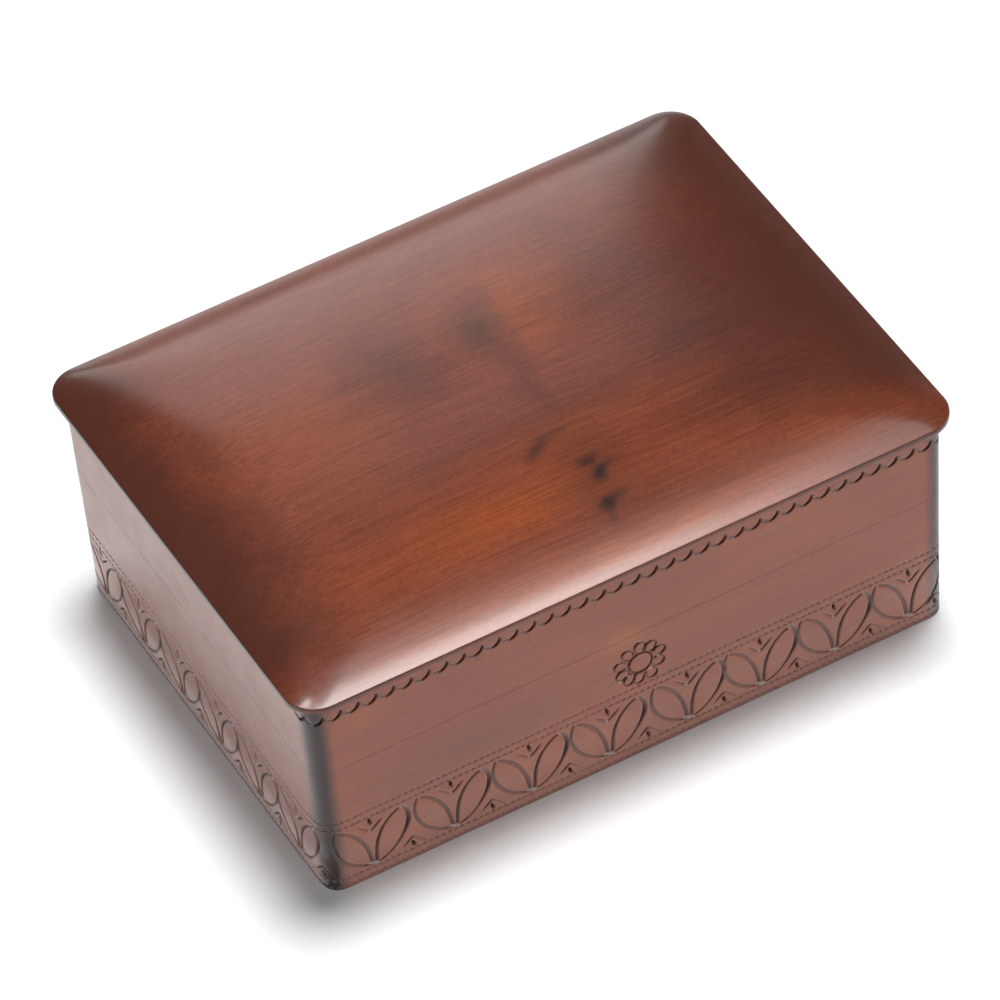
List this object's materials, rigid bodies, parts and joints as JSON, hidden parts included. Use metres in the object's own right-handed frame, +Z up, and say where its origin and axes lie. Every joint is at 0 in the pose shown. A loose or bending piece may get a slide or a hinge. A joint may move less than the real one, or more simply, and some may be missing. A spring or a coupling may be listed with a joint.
{
  "type": "keepsake box",
  "caption": "Rectangular carved wooden keepsake box with rounded corners and a pillow-domed lid that overhangs the walls and swings up on butt hinges at the back.",
  "frame": {"origin": "middle of the rectangle that the box stands on, at the foot of the walls", "axes": "+X along the box's length to the right, +Y from the carved front to the hinged back, +Z up"},
  "size_m": [0.2586, 0.1906, 0.1094],
  "materials": {
    "stained_wall": "red-brown stained linden under satin lacquer, with dark stain in the carved lines",
    "stained_lid": "deep red-brown stained linden under satin lacquer, darker towards the edges",
    "stained_panel": "brown stained linden, thin matt lacquer",
    "hinge_brass": "plain rolled brass, slightly dulled"
  },
  "bodies": {
    "case": {"front_wall_lower_board": "stained_wall", "front_wall_upper_board": "stained_wall", "right_wall_lower_board": "stained_wall", "right_wall_upper_board": "stained_wall", "back_wall_lower_board": "stained_wall", "back_wall_upper_board": "stained_wall", "left_wall_lower_board": "stained_wall", "left_wall_upper_board": "stained_wall", "bottom_panel": "stained_panel", "left_hinge_case_screw_1": "hinge_brass", "left_hinge_case_screw_2": "hinge_brass", "left_hinge_case_screw_3": "hinge_brass", "left_hinge_case_leaf": "hinge_brass", "left_hinge_pin": "hinge_brass", "right_hinge_case_screw_1": "hinge_brass", "right_hinge_case_screw_2": "hinge_brass", "right_hinge_case_screw_3": "hinge_brass", "right_hinge_case_leaf": "hinge_brass", "right_hinge_pin": "hinge_brass"},
    "lid": {"lid_board": "stained_lid", "left_hinge_lid_screw_1": "hinge_brass", "left_hinge_lid_screw_2": "hinge_brass", "left_hinge_lid_screw_3": "hinge_brass", "left_hinge_lid_leaf": "hinge_brass", "right_hinge_lid_screw_1": "hinge_brass", "right_hinge_lid_screw_2": "hinge_brass", "right_hinge_lid_screw_3": "hinge_brass", "right_hinge_lid_leaf": "hinge_brass"}
  },
  "joints": [
    {"name": "lid_hinge", "type": "hinge", "parent": "case", "child": "lid", "pos_m": [0, 0.0915, 0.09465], "axis": [-1, 0, 0], "range_deg": [0, 100]}
  ]
}
